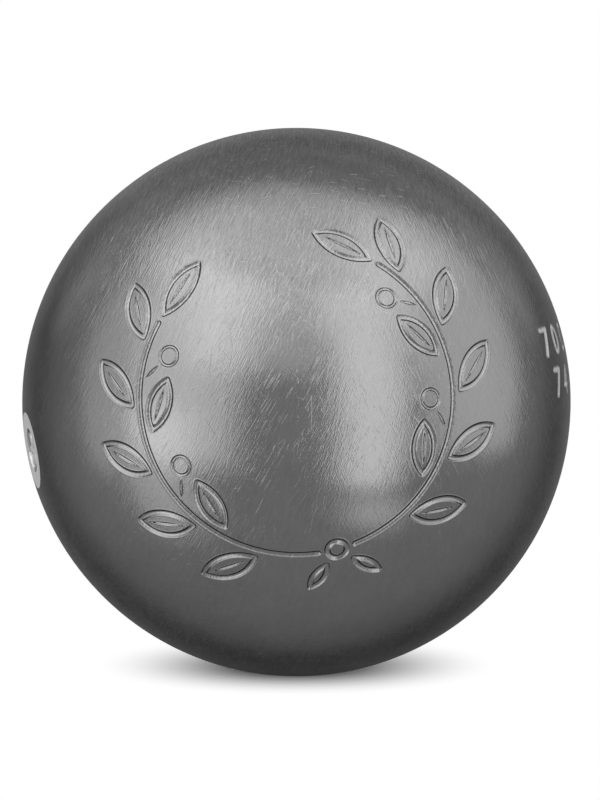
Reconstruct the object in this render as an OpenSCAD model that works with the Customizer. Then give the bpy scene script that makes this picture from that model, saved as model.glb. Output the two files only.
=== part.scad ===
// Petanque boule of hollow steel: two turned half-shells that locate on a short register, and the
// weld ring that joins them, ground flush with the ball.
// The origin is the centre of the ball, +Z is up, and -Y is the engraved front. The half-shells meet
// on the plane Y = 0, and the ball stands on its lowest point.

/* [Ball] */
// Outer diameter of the ball
ball_d = 74; // [70.5:0.5:80]
// Wall thickness of the half-shells
wall = 6.15; // [5:0.05:8]

/* [Weld and register] */
// Width of the weld ring on the surface of the ball
weld_w = 3.2; // [2:0.1:4]
// Width of the weld ring at its root
weld_root_w = 1; // [0.6:0.1:1.8]
// Width of the flat faces on which the half-shells butt, below the weld
land_w = 1.5; // [0.8:0.1:2]
// Wall of the register spigot on the front half-shell
register_wall = 1.4; // [1:0.1:1.8]
// Length of the register spigot past the butt faces
register_len = 1.5; // [0.8:0.1:3]
// Clearance round the spigot and past its end
register_gap = 0.1; // [0.05:0.05:0.3]

/* [Wreath] */
// Distance over the ball from the middle of the wreath to its stems
wreath_r = 21.5; // [19.5:0.5:25]
// Degrees that the middle of the wreath is lifted above the front of the ball
wreath_lift = 7; // [0:1:15]
// Degrees that the wreath is turned anticlockwise
wreath_turn = 15; // [-30:1:30]
// Outer leaves on each sprig
leaf_count = 5; // [2:1:5]
// Distance between leaves along the stem
leaf_pitch = 8.6; // [7.6:0.1:9.4]
// Length of the outer leaves
leaf_len = 9.2; // [7:0.1:10]
// Width of the outer leaves
leaf_w = 4.1; // [3:0.1:4.7]
// Length of the inner leaves
inner_leaf_len = 8; // [6:0.1:9]
// Width of the inner leaves
inner_leaf_w = 3.8; // [2.8:0.1:4.4]
// Outer diameter of the berries between the inner leaves
berry_d = 3; // [2:0.1:3.6]
// Length of the berry stalks
stalk_len = 2.4; // [1.4:0.1:3]
// Outer diameter of the knot at the foot of the wreath
knot_d = 3.4; // [2.6:0.1:4.2]
// Length of the ribbon tails below the knot
tail_len = 5.6; // [4:0.1:7]
// Width of the ribbon tails
tail_w = 2.3; // [2:0.1:3]

/* [Engraved lines] */
// Width of the outlines and stems
line_w = 0.9; // [0.6:0.05:1]
// Width of the midribs, the stalks and the berries' outlines
fine_line_w = 0.5; // [0.35:0.05:0.65]
// Depth of the outlines and stems
line_depth = 0.4; // [0.2:0.05:0.5]
// Depth of the midribs, the stalks and the berries' outlines
fine_line_depth = 0.25; // [0.15:0.05:0.4]
// Plain steel left between one line and the next
line_gap = 0.35; // [0.25:0.05:0.5]

/* [Round mark] */
// Outer diameter of the round mark
mark_d = 10.4; // [8:0.1:11]
// Width of its flat ring
mark_ring_w = 2.2; // [1.6:0.1:2.4]
// Depth of its floor below the flat ring
mark_depth = 0.45; // [0.2:0.05:0.8]
// Height of the rosette above the floor
rosette_h = 0.3; // [0.15:0.05:0.5]
// Diameter of the boss in the middle of the rosette
rosette_boss_d = 1.6; // [1:0.1:2]
// Petals of the rosette
petal_count = 6; // [4:1:6]
// Degrees that the mark lies round to the left of the front
mark_side = 78.4; // [70:0.1:79]
// Degrees that the mark lies below the middle of the ball
mark_drop = 9; // [0:1:20]

/* [Hidden] */
$fn = 96;

// Overrun of the cutters past what they cut
overrun = 1;
ball_r = ball_d / 2;
cavity_r = ball_r - wall;
spigot_r = cavity_r + register_wall;
counterbore_r = spigot_r + register_gap;
weld_root_r = counterbore_r + land_w;
// Growth of the half width of the weld for each unit of radius
weld_slope = (weld_w - weld_root_w) / 2 / (ball_r - weld_root_r);

// Length of a midrib as a share of its leaf
midrib_share = 0.56;
// Degrees between the stem and the outer leaves, the inner leaves and the stalks
leaf_lean = 38;
inner_leaf_lean = 36;
stalk_lean = 45;
// Degrees between each ribbon tail and the foot's own line
tail_lean = 42;
// Distance along the stem from the foot of the wreath to the first leaf, as a share of the pitch
first_leaf_share = 1.05;
// Distance of the inner leaves and berries past the outer leaves, as a share of the pitch
inner_step_share = 0.5;
// Length of a petal as a share of the floor's radius, and its width as a share of its length
petal_share = 0.9;
petal_w_share = 0.42;

// Degrees at the centre of the ball for a length over its surface
function over_ball(length) = length / ball_r * 180 / PI;

wreath_angle = over_ball(wreath_r);
// Degrees round the wreath for a length along its stem
function round_wreath(length) = over_ball(length) / sin(wreath_angle);
first_leaf_at = round_wreath(first_leaf_share * leaf_pitch) - 90;
leaf_step = round_wreath(leaf_pitch);
// Place on the stem, counted in leaves from the first one outside the wreath
function stem_place(i) = first_leaf_at + i * leaf_step;
stem_start_at = round_wreath(knot_d / 2 + line_gap) - 90;
stem_end_at = stem_place(leaf_count - 1 + inner_step_share);
// Radius of the stem's bend over the ball, laid flat
stem_bend_r = ball_r * tan(wreath_angle);

// Radius of the arcs of a lens
function lens_arc_r(length, width) = (length * length + width * width) / 4 / width;

// Distance from the middle of the stem to the foot of a leaf whose bulging side keeps the line gap.
// The bend is positive for a leaf inside the wreath and negative for one outside.
function leaf_foot(length, width, lean, bend_r) =
    let (
        arc_r = lens_arc_r(length, width),
        rise = arc_r - width / 2,
        reach = arc_r + line_w / 2 + line_gap,
        middle = bend_r * sin(lean),
        rest = rise * rise - 2 * bend_r * rise * cos(lean) + 2 * bend_r * reach - reach * reach
    )
    middle - sign(bend_r) * sqrt(middle * middle - rest) - length / 2;

mark_floor_r = mark_d / 2 - mark_ring_w;
// Height of the flat ring along the mark's axis, where a flat cut of the mark's diameter ends
mark_flat_z = sqrt(ball_r * ball_r - mark_d * mark_d / 4);
petal_len = petal_share * mark_floor_r;

// Turns the children's +Z to the front of the ball and their +Y up
module face_front() {
    rotate([90, 0, 0]) children();
}

// Carries the children from the pole of the wreath to its ring, with +X along the stem
module on_ring(at, side_turn) {
    rotate([0, 0, at]) rotate([0, wreath_angle, 0]) rotate([0, 0, 90 + side_turn]) children();
}

// Carries the children a length along +X over the ball
module along(length) {
    rotate([0, over_ball(length), 0]) children();
}

// Prism of a flat shape that reaches from inside the wall to past the surface of the ball
module through_surface() {
    translate([0, 0, ball_r - wall / 2]) linear_extrude(wall / 2 + overrun) children();
}

// Lens of two equal arcs along X, drawn in from a larger lens by an inset
module lens(length, width, inset = 0) {
    arc_r = lens_arc_r(length, width);
    intersection() {
        translate([0, arc_r - width / 2]) circle(arc_r - inset);
        translate([0, width / 2 - arc_r]) circle(arc_r - inset);
    }
}

// Outline of a lens, with its line inside the lens
module lens_outline(length, width) {
    difference() {
        lens(length, width);
        lens(length, width, line_w);
    }
}

// Ring with its line inside the diameter
module ring_outline(diameter, width) {
    difference() {
        circle(d = diameter);
        circle(d = diameter - 2 * width);
    }
}

// Leaf whose foot is at the pole and which lies along +X: its outline, or its midrib if fine
module leaf(length, width, fine) {
    along(length / 2) through_surface()
        if (fine) lens(midrib_share * length, fine_line_w);
        else lens_outline(length, width);
}

// Berry on a stalk that starts at the pole and lies along +X
module berry() {
    along(stalk_len / 2) through_surface() lens(stalk_len, fine_line_w);
    along(stalk_len + line_gap + berry_d / 2) through_surface() ring_outline(berry_d, fine_line_w);
}

// Leaves of the right-hand sprig, which grows anticlockwise: their outlines, or their midribs
module sprig_leaves(fine) {
    for (i = [0:leaf_count - 1])
        on_ring(stem_place(i), -leaf_lean)
            along(leaf_foot(leaf_len, leaf_w, leaf_lean, -stem_bend_r)) leaf(leaf_len, leaf_w, fine);
    for (i = [0:2:leaf_count - 2])
        on_ring(stem_place(i + inner_step_share), inner_leaf_lean)
            along(leaf_foot(inner_leaf_len, inner_leaf_w, inner_leaf_lean, stem_bend_r))
                leaf(inner_leaf_len, inner_leaf_w, fine);
    on_ring(stem_end_at, 0) along(line_gap) leaf(leaf_len, leaf_w, fine);
}

// Stem of the same sprig
module sprig_stem() {
    rotate_extrude(angle = stem_end_at - stem_start_at, start = stem_start_at)
        rotate(-wreath_angle) translate([-line_w / 2, ball_r - wall / 2])
            square([line_w, wall / 2 + overrun]);
}

// Leaves, stem and ribbon tail of the right-hand half of the wreath
module half_wreath_outlines() {
    sprig_leaves(false);
    sprig_stem();
    on_ring(-90, -90 - tail_lean) along(knot_d / 2 + line_gap + tail_len / 2)
        through_surface() lens_outline(tail_len, tail_w);
}

// Midribs and berries of the same half
module half_wreath_fine_lines() {
    sprig_leaves(true);
    for (i = [1:2:leaf_count - 2])
        on_ring(stem_place(i + inner_step_share), stalk_lean)
            along((line_w / 2 + line_gap) / sin(stalk_lean)) berry();
}

// Draws the children on the right of the wreath and mirrored on its left
module both_halves() {
    children();
    mirror([1, 0, 0]) children();
}

// Cutter for the wreath, whose lines have floors that follow the ball
module wreath_cutter() {
    rotate([-wreath_lift, 0, 0]) rotate([0, 0, wreath_turn]) {
        difference() {
            union() {
                both_halves() half_wreath_outlines();
                on_ring(-90, 0) through_surface() ring_outline(knot_d, line_w);
            }
            sphere(ball_r - line_depth);
        }
        difference() {
            both_halves() half_wreath_fine_lines();
            sphere(ball_r - fine_line_depth);
        }
    }
}

// Cutter for the round mark: a flat cut with a recess in it, whose floor carries a rosette
module mark_cutter() {
    floor_z = mark_flat_z - mark_depth;
    rotate([0, -mark_side, 0]) rotate([mark_drop, 0, 0]) difference() {
        union() {
            translate([0, 0, mark_flat_z]) cylinder(h = wall, r = mark_d / 2 + overrun);
            translate([0, 0, floor_z]) cylinder(h = mark_depth + overrun, r = mark_floor_r);
        }
        translate([0, 0, floor_z - overrun]) linear_extrude(overrun + rosette_h) {
            circle(d = rosette_boss_d);
            for (i = [0:petal_count - 1])
                rotate(i * 360 / petal_count) translate([petal_len / 2, 0])
                    lens(petal_len, petal_w_share * petal_len);
        }
    }
}

// Section of the weld groove, which widens from the weld's root to past the surface of the ball
module weld_section() {
    half_top = weld_w / 2 + weld_slope * overrun;
    polygon([
        [weld_root_r, -weld_root_w / 2],
        [ball_r + overrun, -half_top],
        [ball_r + overrun, half_top],
        [weld_root_r, weld_root_w / 2]
    ]);
}

// Section of a plain half-shell, cut off at the seam and bevelled for the weld
module half_section() {
    difference() {
        intersection() {
            circle(ball_r);
            square(ball_d);
        }
        circle(cavity_r);
        weld_section();
    }
}

// Front half-shell with the spigot, the wreath and the round mark
module front_shell() {
    color("dimgray") face_front() difference() {
        rotate([0, 0, 90 + wreath_turn]) rotate_extrude() difference() {
            union() {
                half_section();
                translate([0, -register_len]) square([spigot_r, register_len + overrun]);
            }
            circle(cavity_r);
        }
        wreath_cutter();
        mark_cutter();
    }
}

// Plain rear half-shell with the counterbore for the spigot
module rear_shell() {
    color("dimgray") mirror([0, 1, 0]) face_front() rotate_extrude() difference() {
        half_section();
        square([counterbore_r, register_len + register_gap]);
    }
}

// Weld ring, ground flush with the ball
module weld_ring() {
    color("slategray") face_front() rotate_extrude() intersection() {
        weld_section();
        circle(ball_r);
    }
}

front_shell();
rear_shell();
weld_ring();
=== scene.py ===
import math
from collections import namedtuple

import bmesh
import bpy
import numpy as np
from mathutils import Matrix, Vector, kdtree


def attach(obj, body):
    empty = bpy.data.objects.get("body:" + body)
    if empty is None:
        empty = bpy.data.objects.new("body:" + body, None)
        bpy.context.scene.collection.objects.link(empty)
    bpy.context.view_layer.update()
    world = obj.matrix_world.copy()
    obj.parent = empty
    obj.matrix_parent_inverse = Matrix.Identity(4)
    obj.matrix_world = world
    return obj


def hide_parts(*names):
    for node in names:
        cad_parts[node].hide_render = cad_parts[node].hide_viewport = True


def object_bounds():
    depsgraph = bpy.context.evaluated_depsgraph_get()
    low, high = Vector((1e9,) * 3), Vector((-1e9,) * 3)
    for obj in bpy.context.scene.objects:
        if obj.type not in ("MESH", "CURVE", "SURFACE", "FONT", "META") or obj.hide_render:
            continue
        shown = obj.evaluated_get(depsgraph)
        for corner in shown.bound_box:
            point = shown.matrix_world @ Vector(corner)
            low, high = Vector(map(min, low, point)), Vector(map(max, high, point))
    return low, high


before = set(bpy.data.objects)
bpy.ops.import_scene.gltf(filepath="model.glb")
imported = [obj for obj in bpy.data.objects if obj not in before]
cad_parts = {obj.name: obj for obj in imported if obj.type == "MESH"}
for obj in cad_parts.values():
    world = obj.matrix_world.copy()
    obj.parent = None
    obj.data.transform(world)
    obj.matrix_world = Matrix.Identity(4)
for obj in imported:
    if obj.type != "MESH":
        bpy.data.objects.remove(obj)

# Looks of a hollow steel petanque boule: burnished half-shells with an engraved wreath, a round mark
# and plain figures, on a white studio floor. Lengths are in metres, which MM makes of millimetres, and
# the sizes' angles are in degrees. The ball's centre is the origin, -Y is its front and +Z is up.

cad_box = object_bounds()
MM = 0.001


# Sizes of the ball, which repeat the construction's

BALL_R = 37.0 * MM
CAVITY_R = BALL_R - 6.15 * MM
SPIGOT_R = CAVITY_R + 1.4 * MM
COUNTERBORE_R = SPIGOT_R + 0.1 * MM
WELD_ROOT_R = COUNTERBORE_R + 1.5 * MM
WELD_W = 3.2 * MM
WELD_ROOT_W = 1.0 * MM
SPIGOT_LEN = 1.5 * MM
COUNTERBORE_LEN = 1.6 * MM

WREATH_R = 21.5 * MM
WREATH_LIFT = 7.0
WREATH_TURN = 15.0
LEAF_COUNT = 5
LEAF_PITCH = 8.6 * MM
LEAF_LEN = 9.2 * MM
LEAF_W = 4.1 * MM
INNER_LEAF_LEN = 8.0 * MM
INNER_LEAF_W = 3.8 * MM
BERRY_D = 3.0 * MM
STALK_LEN = 2.4 * MM
KNOT_D = 3.4 * MM
TAIL_LEN = 5.6 * MM
TAIL_W = 2.3 * MM
LINE_W = 0.9 * MM
FINE_LINE_W = 0.5 * MM
LINE_GAP = 0.35 * MM
MIDRIB_SHARE = 0.56
FIRST_LEAF_SHARE = 1.05
INNER_STEP_SHARE = 0.5
LEAF_LEAN = 38.0
INNER_LEAF_LEAN = 36.0
STALK_LEAN = 45.0
TAIL_LEAN = 42.0

MARK_R = 5.2 * MM
MARK_RING_W = 2.2 * MM
MARK_DEPTH = 0.45 * MM
ROSETTE_H = 0.3 * MM
ROSETTE_BOSS_R = 0.8 * MM
PETAL_COUNT = 6
PETAL_SHARE = 0.9
PETAL_W_SHARE = 0.42
MARK_SIDE = 78.4
MARK_DROP = 9.0

# Depths of the wreath's lines, shallower than the construction's, at which they look right
LINE_DEPTH = 0.28 * MM
FINE_LINE_DEPTH = 0.18 * MM

# Plain figures at the right: the weight in grams over the diameter in millimetres
FIGURE_ROWS = ("700", "74")
FIGURE_H = 4.4 * MM
FIGURE_W = 2.9 * MM
FIGURE_STEP = 4.5 * MM
FIGURE_LINE_W = 1.0 * MM
FIGURE_DEPTH = 0.12 * MM
FIGURE_ROW_STEP = 5.6 * MM
FIGURES_SIDE = 74.5
FIGURES_LIFT = 10.5


# Camera, which frames the ball as the photograph does

PHOTO_W = 600
PHOTO_H = 800
BALL_CENTRE_PX = (296.43, 402.05)
BALL_RADIUS_PX = 274.28
CAMERA_DISTANCE = 0.75
CAMERA_ELEVATION = 6.0
SENSOR_MM = 36.0


def direction(azimuth, elevation):
    """Unit vector from the ball: azimuth 0 is its front, and 90 is its right."""
    a = math.radians(azimuth)
    e = math.radians(elevation)
    return Vector((math.sin(a) * math.cos(e), -math.cos(a) * math.cos(e), math.sin(e)))


def add_object(name, data):
    """Adds an object to the scene."""
    obj = bpy.data.objects.new(name, data)
    bpy.context.collection.objects.link(obj)
    return obj


def look_at_ball(obj, place):
    """Stands an object at a place with its -Z towards the ball."""
    obj.location = place
    obj.rotation_euler = place.to_track_quat("Z", "Y").to_euler()


def make_camera():
    """Camera with the photograph's distance, height and framing."""
    data = bpy.data.cameras.new("camera")
    data.sensor_fit = "VERTICAL"
    data.sensor_height = SENSOR_MM
    focal_px = BALL_RADIUS_PX / math.tan(math.asin(BALL_R / CAMERA_DISTANCE))
    data.lens = focal_px * SENSOR_MM / PHOTO_H
    data.shift_x = (PHOTO_W / 2 - BALL_CENTRE_PX[0]) / PHOTO_H
    data.shift_y = (BALL_CENTRE_PX[1] - PHOTO_H / 2) / PHOTO_H
    camera = add_object("camera", data)
    look_at_ball(camera, direction(0.0, CAMERA_ELEVATION) * CAMERA_DISTANCE)
    bpy.context.scene.camera = camera


# Node trees, in which a value is a number or an output socket

def open_socket(sockets, name):
    """The socket of that name that the node's settings show."""
    return next(s for s in sockets if s.name == name and s.enabled)


def feed(tree, socket, value):
    """Links an output to a socket, or writes a number, a vector or an object into it."""
    if isinstance(value, bpy.types.NodeSocket):
        tree.links.new(value, socket)
    else:
        socket.default_value = value


def add_node(tree, kind, settings=None, **values):
    """Adds a node, and feeds its inputs by name, with _ for a space."""
    node = tree.nodes.new(kind)
    for name, setting in (settings or {}).items():
        setattr(node, name, setting)
    for name, value in values.items():
        feed(tree, open_socket(node.inputs, name.replace("_", " ")), value)
    return node


def calc(tree, operation, *values, clamp=False):
    """Output of a math node."""
    node = tree.nodes.new("ShaderNodeMath")
    node.operation = operation
    node.use_clamp = clamp
    for socket, value in zip(node.inputs, values):
        feed(tree, socket, value)
    return node.outputs[0]


def total(tree, *pairs):
    """Sum of values, each given with its weight."""
    result = 0.0
    for value, weight in pairs:
        result = calc(tree, "MULTIPLY_ADD", value, weight, result)
    return result


def product(tree, result, *values):
    """Product of values."""
    for value in values:
        result = calc(tree, "MULTIPLY", result, value)
    return result


def vector_calc(tree, operation, *values, scale=None):
    """Output of a vector math node, a number for a dot product or a length."""
    node = tree.nodes.new("ShaderNodeVectorMath")
    node.operation = operation
    for socket, value in zip(node.inputs, values):
        feed(tree, socket, value)
    if scale is not None:
        feed(tree, node.inputs["Scale"], scale)
    return node.outputs["Value" if operation in ("DOT_PRODUCT", "LENGTH") else "Vector"]


def fade(tree, value, start, end, low=0.0, high=1.0):
    """Smooth change from low at one value to high at another."""
    node = add_node(tree, "ShaderNodeMapRange", {"interpolation_type": "SMOOTHSTEP"})
    for name, number in zip(("Value", "From Min", "From Max", "To Min", "To Max"),
                            (value, start, end, low, high)):
        feed(tree, open_socket(node.inputs, name), number)
    return node.outputs["Result"]


# Kinds of the groups' sockets that aren't numbers
SOCKET_KINDS = {"Position": "Vector", "Axis": "Vector", "Axis Turn": "Vector", "Geometry": "Geometry",
                "Lines": "Object", "Material": "Material"}


def new_group(name, kind, inputs, outputs):
    """Node group with named sockets: its tree, the given values and the sockets to feed."""
    tree = bpy.data.node_groups.new(name, kind)
    for side, socket_names in (("INPUT", inputs), ("OUTPUT", outputs)):
        for socket_name in socket_names:
            socket_type = "NodeSocket" + SOCKET_KINDS.get(socket_name, "Float")
            tree.interface.new_socket(socket_name, in_out=side, socket_type=socket_type)
    return tree, tree.nodes.new("NodeGroupInput").outputs, tree.nodes.new("NodeGroupOutput").inputs


def use_group(tree, group, **values):
    """Outputs of a group placed in a tree."""
    kind = "GeometryNodeGroup" if tree.type == "GEOMETRY" else "ShaderNodeGroup"
    return add_node(tree, kind, {"node_tree": group}, **values).outputs


def new_material(name):
    """Material with its node tree and its shader."""
    material = bpy.data.materials.new(name)
    material.use_nodes = True
    return material, material.node_tree, material.node_tree.nodes["Principled BSDF"]


# Studio

# The floor's grey paint round the ball is a painted shadow that the ball's real shadow also falls on, and
# it turns into plain white away from the shadow's centre
FLOOR_R = 50.0 * MM
FLOOR_SIDES = 128
SHADOW_PAINT = 0.25
FLOOR_ROUGHNESS = 0.8
SHADOW_CENTRE = (0.0, 8.0 * MM, 0.0)
FLOOR_WHITE_FROM = 6.0 * MM
FLOOR_WHITE_TO = 28.0 * MM

# Strength of the world where it only lights; the rays that show it see white
WORLD_LIGHT = 0.5

# Softboxes, all at one distance: name, azimuth, elevation, width and height in degrees, and radiance
SOFTBOX_DISTANCE = 0.9
SOFTBOXES = (
    ("left", -48.0, 19.0, 48.0, 78.0, 2.4),
    ("high_left", -20.0, 45.0, 53.0, 53.0, 1.3),
    ("far_left", -87.0, 32.0, 28.0, 105.0, 1.1),
    ("low_left", -61.0, -21.0, 29.0, 46.0, 1.4),
    ("right", 31.0, 12.0, 29.0, 82.0, 3.2),
    ("far_right", 80.0, 29.0, 55.0, 87.0, 1.6),
    ("low_right", 38.0, -39.0, 21.0, 12.0, 1.6),
    ("top", -13.0, 87.0, 95.0, 39.0, 1.2),
    ("back", 179.0, 31.0, 111.0, 35.0, 0.9),
)


def softbox(name, azimuth, elevation, width, height, radiance):
    """Rectangular lamp whose width and height are the degrees that it spans at the ball."""
    data = bpy.data.lights.new(name, "AREA")
    data.shape = "RECTANGLE"
    data.size = 2 * SOFTBOX_DISTANCE * math.tan(math.radians(width / 2))
    data.size_y = 2 * SOFTBOX_DISTANCE * math.tan(math.radians(height / 2))
    data.energy = radiance * math.pi * data.size * data.size_y
    look_at_ball(add_object(name, data), direction(azimuth, elevation) * SOFTBOX_DISTANCE)


def background_rays(tree):
    """Factor that is 1 for the rays that show the background: camera, glossy and transmission."""
    path = tree.nodes.new("ShaderNodeLightPath").outputs
    shown = calc(tree, "MAXIMUM", path["Is Camera Ray"], path["Is Glossy Ray"])
    return calc(tree, "MAXIMUM", shown, path["Is Transmission Ray"])


def make_world():
    """White world, dimmer where it only lights."""
    world = bpy.data.worlds.new("studio")
    world.use_nodes = True
    tree = world.node_tree
    background = tree.nodes["Background"]
    background.inputs["Color"].default_value = (1.0, 1.0, 1.0, 1.0)
    strength = fade(tree, background_rays(tree), start=0.0, end=1.0, low=WORLD_LIGHT)
    feed(tree, background.inputs["Strength"], strength)
    bpy.context.scene.world = world


def make_floor():
    """Round floor whose grey paint round the ball is a painted shadow, which also shows the ball's real
    shadow and turns into plain white further out.
    """
    mesh = bpy.data.meshes.new("floor")
    bm = bmesh.new()
    bmesh.ops.create_circle(bm, cap_ends=True, segments=FLOOR_SIDES, radius=FLOOR_R)
    bmesh.ops.translate(bm, verts=bm.verts, vec=(0.0, 0.0, cad_box[0][2]))
    bm.to_mesh(mesh)
    bm.free()
    material, tree, paint = new_material("white_floor_with_painted_shadow")
    paint.inputs["Base Color"].default_value = (SHADOW_PAINT, SHADOW_PAINT, SHADOW_PAINT, 1.0)
    paint.inputs["Roughness"].default_value = FLOOR_ROUGHNESS
    position = tree.nodes.new("ShaderNodeTexCoord").outputs["Object"]
    flat = vector_calc(tree, "MULTIPLY", position, (1.0, 1.0, 0.0))
    from_shadow = vector_calc(tree, "LENGTH", vector_calc(tree, "SUBTRACT", flat, SHADOW_CENTRE))
    far = fade(tree, from_shadow, FLOOR_WHITE_FROM, FLOOR_WHITE_TO)
    white = add_node(tree, "ShaderNodeEmission", Color=(1.0, 1.0, 1.0, 1.0), Strength=1.0)
    mix = tree.nodes.new("ShaderNodeMixShader")
    feed(tree, mix.inputs["Fac"], product(tree, far, background_rays(tree)))
    feed(tree, mix.inputs[1], paint.outputs["BSDF"])
    feed(tree, mix.inputs[2], white.outputs["Emission"])
    feed(tree, tree.nodes["Material Output"].inputs["Surface"], mix.outputs["Shader"])
    mesh.materials.append(material)
    add_object("floor", mesh)


# Places on the ball, as matrices that carry its +Z pole and flat shapes drawn round that pole

def turn(axis, degrees):
    """Matrix of a turn about an axis."""
    return np.array(Matrix.Rotation(math.radians(degrees), 3, axis))


def over_ball(length):
    """Degrees at the centre of the ball for a length over its surface."""
    return math.degrees(length / BALL_R)


FACE_FRONT = turn("X", 90)
WREATH_PLACE = FACE_FRONT @ turn("X", -WREATH_LIFT) @ turn("Z", WREATH_TURN)
MARK_PLACE = FACE_FRONT @ turn("Y", -MARK_SIDE) @ turn("X", MARK_DROP)
FIGURES_PLACE = turn("Z", FIGURES_SIDE) @ turn("X", -FIGURES_LIFT) @ FACE_FRONT
WREATH_ANGLE = over_ball(WREATH_R)
STEM_BEND_R = BALL_R * math.tan(math.radians(WREATH_ANGLE))


def round_wreath(length):
    """Degrees round the wreath for a length along its stem."""
    return over_ball(length) / math.sin(math.radians(WREATH_ANGLE))


def stem_place(i):
    """Place on the stem, counted in leaves from the first one outside the wreath."""
    return round_wreath(FIRST_LEAF_SHARE * LEAF_PITCH) - 90 + i * round_wreath(LEAF_PITCH)


def on_ring(at, side_turn):
    """Place at degrees round the wreath, whose X runs along the stem but for a turn to the side."""
    return turn("Z", at) @ turn("Y", WREATH_ANGLE) @ turn("Z", 90 + side_turn)


def along(length):
    """Move over the ball by a length along X."""
    return turn("Y", over_ball(length))


def lens_arc_r(length, width):
    """Radius of the arcs of a lens."""
    return (length * length + width * width) / 4 / width


def leaf_foot(length, width, lean, bend_r):
    """Distance from the middle of the stem to a leaf's foot, as the construction works it out."""
    arc_r = lens_arc_r(length, width)
    rise = arc_r - width / 2
    reach = arc_r + LINE_W / 2 + LINE_GAP
    middle = bend_r * math.sin(math.radians(lean))
    rest = rise**2 - 2 * bend_r * rise * math.cos(math.radians(lean)) + 2 * bend_r * reach - reach**2
    return middle - math.copysign(math.sqrt(middle**2 - rest), bend_r) - length / 2


# Engraved lines, whose points lie on the ball, each with the line's half width, depth and finish

Line = namedtuple("Line", "points half_widths depth bright closed", defaults=(0.0, False))
LINE_STEP = 0.12 * MM


def wrap(flat_points):
    """Points on the ball over flat points round its +Z pole."""
    flat = np.asarray(flat_points, float)
    return np.column_stack([flat, np.sqrt(BALL_R**2 - (flat**2).sum(1))])


def lens_outline(length, width, inset):
    """Closed flat outline of a lens along X, drawn in by an inset."""
    rise = lens_arc_r(length, width) - width / 2
    r = rise + width / 2 - inset
    half_turn = math.acos(rise / r)
    steps = math.ceil(2 * half_turn * r / LINE_STEP)
    angles = np.linspace(-half_turn, half_turn, steps, endpoint=False)
    upper = np.column_stack([r * np.sin(angles), r * np.cos(angles) - rise])
    return np.concatenate([upper, -upper])


def circle_outline(radius):
    """Closed flat circle round the origin."""
    steps = math.ceil(2 * math.pi * radius / LINE_STEP)
    angles = np.arange(steps) * 2 * math.pi / steps
    return radius * np.column_stack([np.cos(angles), np.sin(angles)])


def outline(place, flat_points, width=LINE_W, depth=LINE_DEPTH):
    """Closed line of even width."""
    points = wrap(flat_points) @ place.T
    return Line(points, np.full(len(points), width / 2), depth, closed=True)


def tapered_line(place, length, width):
    """Fine line along X from the middle of a place, with the widths of a lens."""
    arc_r = lens_arc_r(length, width)
    x = np.linspace(-length / 2, length / 2, math.ceil(length / LINE_STEP) + 1)
    half_widths = np.sqrt(arc_r**2 - x**2) - (arc_r - width / 2)
    points = wrap(np.column_stack([x, np.zeros(len(x))])) @ place.T
    return Line(points, half_widths, FINE_LINE_DEPTH)


def leaf(foot, length, width):
    """Outline and midrib of a leaf along X from its foot."""
    place = foot @ along(length / 2)
    return [
        outline(place, lens_outline(length, width, LINE_W / 2)),
        tapered_line(place, MIDRIB_SHARE * length, FINE_LINE_W),
    ]


def berry(foot):
    """Berry and its stalk, along X from the stalk's foot."""
    place = foot @ along(STALK_LEN + LINE_GAP + BERRY_D / 2)
    ring = circle_outline(BERRY_D / 2 - FINE_LINE_W / 2)
    return [
        outline(place, ring, FINE_LINE_W, FINE_LINE_DEPTH),
        tapered_line(foot @ along(STALK_LEN / 2), STALK_LEN, FINE_LINE_W),
    ]


def stem():
    """Stem of the right-hand sprig, from the knot to its end leaf."""
    start = round_wreath(KNOT_D / 2 + LINE_GAP + LINE_W / 2) - 90
    end = stem_place(LEAF_COUNT - 1 + INNER_STEP_SHARE) - round_wreath(LINE_W / 2)
    polar = math.radians(WREATH_ANGLE)
    step = round_wreath(LINE_STEP)
    angles = np.radians(np.linspace(start, end, math.ceil((end - start) / step)))
    ring = np.column_stack([np.cos(angles), np.sin(angles)]) * BALL_R * math.sin(polar)
    return Line(wrap(ring), np.full(len(ring), LINE_W / 2), LINE_DEPTH)


def half_wreath():
    """Lines of the right-hand half of the wreath, round the +Z pole."""
    lines = [stem()]
    outer_foot = along(leaf_foot(LEAF_LEN, LEAF_W, LEAF_LEAN, -STEM_BEND_R))
    inner_foot = along(leaf_foot(INNER_LEAF_LEN, INNER_LEAF_W, INNER_LEAF_LEAN, STEM_BEND_R))
    stalk_foot = along((LINE_W / 2 + LINE_GAP) / math.sin(math.radians(STALK_LEAN)))
    for i in range(LEAF_COUNT):
        lines += leaf(on_ring(stem_place(i), -LEAF_LEAN) @ outer_foot, LEAF_LEN, LEAF_W)
    for i in range(LEAF_COUNT - 1):
        at = stem_place(i + INNER_STEP_SHARE)
        if i % 2 == 0:
            lines += leaf(on_ring(at, INNER_LEAF_LEAN) @ inner_foot, INNER_LEAF_LEN, INNER_LEAF_W)
        else:
            lines += berry(on_ring(at, STALK_LEAN) @ stalk_foot)
    end = stem_place(LEAF_COUNT - 1 + INNER_STEP_SHARE)
    lines += leaf(on_ring(end, 0) @ along(LINE_GAP), LEAF_LEN, LEAF_W)
    tail_place = on_ring(-90, -90 - TAIL_LEAN) @ along(KNOT_D / 2 + LINE_GAP + TAIL_LEN / 2)
    lines.append(outline(tail_place, lens_outline(TAIL_LEN, TAIL_W, LINE_W / 2)))
    return lines


def wreath():
    """All lines of the wreath in its place on the front of the ball."""
    knot = outline(on_ring(-90, 0), circle_outline(KNOT_D / 2 - LINE_W / 2))
    right = half_wreath()
    left = [line._replace(points=line.points * (-1, 1, 1)) for line in right]
    return [line._replace(points=line.points @ WREATH_PLACE.T) for line in [knot, *right, *left]]


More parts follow.
